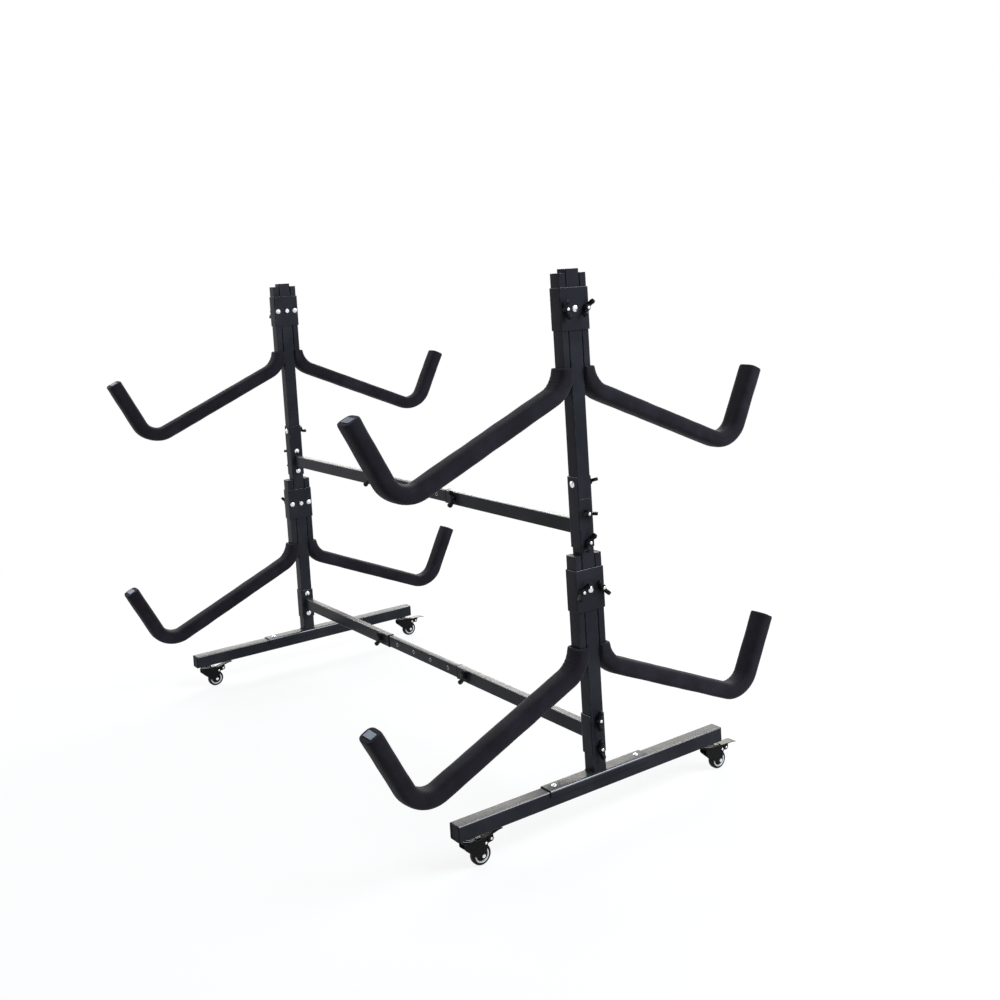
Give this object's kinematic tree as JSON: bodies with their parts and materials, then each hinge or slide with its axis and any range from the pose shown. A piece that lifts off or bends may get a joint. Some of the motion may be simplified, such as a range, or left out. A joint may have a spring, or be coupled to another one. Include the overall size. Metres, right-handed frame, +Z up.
{
  "type": "freestanding kayak storage rack",
  "caption": "Freestanding kayak storage rack on braked casters, with foam-padded J-shaped arms low and high on each post and telescoping crossbars held by wing screws.",
  "frame": {"origin": "on the floor, midway between the two posts and midway along the feet", "axes": "+X along the crossbars towards the near post, +Y along the feet towards the side the casters trail to, +Z up"},
  "size_m": [1.7656, 1.2186, 1.341],
  "materials": {
    "coat": "satin",
    "foam": "matte",
    "knob": "satin",
    "fork_steel": "satin",
    "tyre": "satin",
    "zinc": "satin"
  },
  "bodies": {
    "near_frame": {"near_foot": "coat", "near_lower_post": "coat", "near_upper_post": "coat", "near_post_insert": "coat", "near_lower_sleeve": "coat", "near_upper_sleeve": "coat", "near_lower_arm_bracket": "coat", "near_upper_arm_bracket": "coat", "near_lower_left_arm": "coat", "near_lower_right_arm": "coat", "near_upper_left_arm": "coat", "near_upper_right_arm": "coat", "near_lower_left_foam": "foam", "near_lower_right_foam": "foam", "near_upper_left_foam": "foam", "near_upper_right_foam": "foam"},
    "far_frame": {"far_foot": "coat", "far_lower_post": "coat", "far_upper_post": "coat", "far_post_insert": "coat", "far_lower_sleeve": "coat", "far_upper_sleeve": "coat", "far_lower_arm_bracket": "coat", "far_upper_arm_bracket": "coat", "far_lower_left_arm": "coat", "far_lower_right_arm": "coat", "far_upper_left_arm": "coat", "far_upper_right_arm": "coat", "far_lower_left_foam": "foam", "far_lower_right_foam": "foam", "far_upper_left_foam": "foam", "far_upper_right_foam": "foam"},
    "lower_inner_tube": {"lower_inner_tube": "coat"},
    "upper_inner_tube": {"upper_inner_tube": "coat"},
    "near_left_caster": {"near_left_fork": "fork_steel"},
    "near_right_caster": {"near_right_fork": "fork_steel"},
    "far_left_caster": {"far_left_fork": "fork_steel"},
    "far_right_caster": {"far_right_fork": "fork_steel"},
    "near_left_wheel": {"near_left_wheel": "tyre"},
    "near_right_wheel": {"near_right_wheel": "tyre"},
    "far_left_wheel": {"far_left_wheel": "tyre"},
    "far_right_wheel": {"far_right_wheel": "tyre"},
    "near_left_brake": {"near_left_brake_pedal": "zinc"},
    "near_right_brake": {"near_right_brake_pedal": "zinc"},
    "far_left_brake": {"far_left_brake_pedal": "zinc"},
    "far_right_brake": {"far_right_brake_pedal": "zinc"},
    "near_lower_left_arm_bolt": {"near_lower_left_arm_bolt": "knob"},
    "near_lower_right_arm_bolt": {"near_lower_right_arm_bolt": "knob"},
    "near_upper_left_arm_bolt": {"near_upper_left_arm_bolt": "knob"},
    "near_upper_right_arm_bolt": {"near_upper_right_arm_bolt": "knob"},
    "far_lower_left_arm_bolt": {"far_lower_left_arm_bolt": "knob"},
    "far_lower_right_arm_bolt": {"far_lower_right_arm_bolt": "knob"},
    "far_upper_left_arm_bolt": {"far_upper_left_arm_bolt": "knob"},
    "far_upper_right_arm_bolt": {"far_upper_right_arm_bolt": "knob"},
    "near_lower_bar_screw": {"near_lower_bar_screw": "knob"},
    "near_upper_bar_screw": {"near_upper_bar_screw": "knob"},
    "far_lower_bar_screw": {"far_lower_bar_screw": "knob"},
    "far_upper_bar_screw": {"far_upper_bar_screw": "knob"},
    "near_splice_bolt": {"near_splice_bolt": "knob"},
    "far_splice_bolt": {"far_splice_bolt": "knob"}
  },
  "joints": [
    {"name": "spread", "type": "slide", "parent": "near_frame", "child": "far_frame", "axis": [-1, 0, 0], "range_m": [-0.4064, 0.2032]},
    {"name": "lower_inner_tube_slide", "type": "slide", "parent": "near_frame", "child": "lower_inner_tube", "axis": [-1, 0, 0], "range_m": [-0.2032, 0.1016]},
    {"name": "upper_inner_tube_slide", "type": "slide", "parent": "near_frame", "child": "upper_inner_tube", "axis": [-1, 0, 0], "range_m": [-0.2032, 0.1016]},
    {"name": "near_left_swivel", "type": "hinge", "parent": "near_frame", "child": "near_left_caster", "pos_m": [0.841, -0.369, 0.07], "axis": [0, 0, 1], "continuous": true},
    {"name": "near_right_swivel", "type": "hinge", "parent": "near_frame", "child": "near_right_caster", "pos_m": [0.841, 0.369, 0.07], "axis": [0, 0, 1], "continuous": true},
    {"name": "far_left_swivel", "type": "hinge", "parent": "far_frame", "child": "far_left_caster", "pos_m": [-0.841, -0.369, 0.07], "axis": [0, 0, 1], "continuous": true},
    {"name": "far_right_swivel", "type": "hinge", "parent": "far_frame", "child": "far_right_caster", "pos_m": [-0.841, 0.369, 0.07], "axis": [0, 0, 1], "continuous": true},
    {"name": "near_left_roll", "type": "hinge", "parent": "near_left_caster", "child": "near_left_wheel", "pos_m": [0.841, -0.339, 0.02452], "axis": [1, 0, 0], "continuous": true},
    {"name": "near_right_roll", "type": "hinge", "parent": "near_right_caster", "child": "near_right_wheel", "pos_m": [0.841, 0.399, 0.02452], "axis": [1, 0, 0], "continuous": true},
    {"name": "far_left_roll", "type": "hinge", "parent": "far_left_caster", "child": "far_left_wheel", "pos_m": [-0.841, -0.339, 0.02452], "axis": [1, 0, 0], "continuous": true},
    {"name": "far_right_roll", "type": "hinge", "parent": "far_right_caster", "child": "far_right_wheel", "pos_m": [-0.841, 0.399, 0.02452], "axis": [1, 0, 0], "continuous": true},
    {"name": "near_left_brake_press", "type": "hinge", "parent": "near_left_caster", "child": "near_left_brake", "pos_m": [0.841, -0.32968, 0.05113], "axis": [1, 0, 0], "range_deg": [-23, 0]},
    {"name": "near_right_brake_press", "type": "hinge", "parent": "near_right_caster", "child": "near_right_brake", "pos_m": [0.841, 0.40832, 0.05113], "axis": [1, 0, 0], "range_deg": [-12, 0]},
    {"name": "far_left_brake_press", "type": "hinge", "parent": "far_left_caster", "child": "far_left_brake", "pos_m": [-0.841, -0.32968, 0.05113], "axis": [1, 0, 0], "range_deg": [-23, 0]},
    {"name": "far_right_brake_press", "type": "hinge", "parent": "far_right_caster", "child": "far_right_brake", "pos_m": [-0.841, 0.40832, 0.05113], "axis": [1, 0, 0], "range_deg": [-12, 0]},
    {"name": "near_lower_left_arm_bolt_turn", "type": "hinge", "parent": "near_frame", "child": "near_lower_left_arm_bolt", "pos_m": [0.8628, -0.0301, 0.57], "axis": [1, 0, 0], "continuous": true},
    {"name": "near_lower_right_arm_bolt_turn", "type": "hinge", "parent": "near_frame", "child": "near_lower_right_arm_bolt", "pos_m": [0.8628, 0.0301, 0.57], "axis": [1, 0, 0], "continuous": true},
    {"name": "near_upper_left_arm_bolt_turn", "type": "hinge", "parent": "near_frame", "child": "near_upper_left_arm_bolt", "pos_m": [0.8628, -0.0301, 1.246], "axis": [1, 0, 0], "continuous": true},
    {"name": "near_upper_right_arm_bolt_turn", "type": "hinge", "parent": "near_frame", "child": "near_upper_right_arm_bolt", "pos_m": [0.8628, 0.0301, 1.246], "axis": [1, 0, 0], "continuous": true},
    {"name": "far_lower_left_arm_bolt_turn", "type": "hinge", "parent": "far_frame", "child": "far_lower_left_arm_bolt", "pos_m": [-0.8628, -0.0301, 0.57], "axis": [-1, 0, 0], "continuous": true},
    {"name": "far_lower_right_arm_bolt_turn", "type": "hinge", "parent": "far_frame", "child": "far_lower_right_arm_bolt", "pos_m": [-0.8628, 0.0301, 0.57], "axis": [-1, 0, 0], "continuous": true},
    {"name": "far_upper_left_arm_bolt_turn", "type": "hinge", "parent": "far_frame", "child": "far_upper_left_arm_bolt", "pos_m": [-0.8628, -0.0301, 1.246], "axis": [-1, 0, 0], "continuous": true},
    {"name": "far_upper_right_arm_bolt_turn", "type": "hinge", "parent": "far_frame", "child": "far_upper_right_arm_bolt", "pos_m": [-0.8628, 0.0301, 1.246], "axis": [-1, 0, 0], "continuous": true},
    {"name": "near_lower_bar_screw_turn", "type": "hinge", "parent": "near_frame", "child": "near_lower_bar_screw", "pos_m": [0.26, -0.0095, 0.212], "axis": [0, -1, 0], "continuous": true},
    {"name": "near_upper_bar_screw_turn", "type": "hinge", "parent": "near_frame", "child": "near_upper_bar_screw", "pos_m": [0.26, -0.0095, 0.72], "axis": [0, -1, 0], "continuous": true},
    {"name": "far_lower_bar_screw_turn", "type": "hinge", "parent": "far_frame", "child": "far_lower_bar_screw", "pos_m": [-0.248, -0.0095, 0.212], "axis": [0, -1, 0], "continuous": true},
    {"name": "far_upper_bar_screw_turn", "type": "hinge", "parent": "far_frame", "child": "far_upper_bar_screw", "pos_m": [-0.248, -0.0095, 0.72], "axis": [0, -1, 0], "continuous": true},
    {"name": "near_splice_bolt_turn", "type": "hinge", "parent": "near_frame", "child": "near_splice_bolt", "pos_m": [0.841, 0.0218, 0.826], "axis": [0, 1, 0], "continuous": true},
    {"name": "far_splice_bolt_turn", "type": "hinge", "parent": "far_frame", "child": "far_splice_bolt", "pos_m": [-0.841, 0.0218, 0.826], "axis": [0, 1, 0], "continuous": true}
  ],
  "couplings": [
    {"joint": "lower_inner_tube_slide", "follows": "spread", "ratio": 0.5},
    {"joint": "upper_inner_tube_slide", "follows": "spread", "ratio": 0.5}
  ]
}
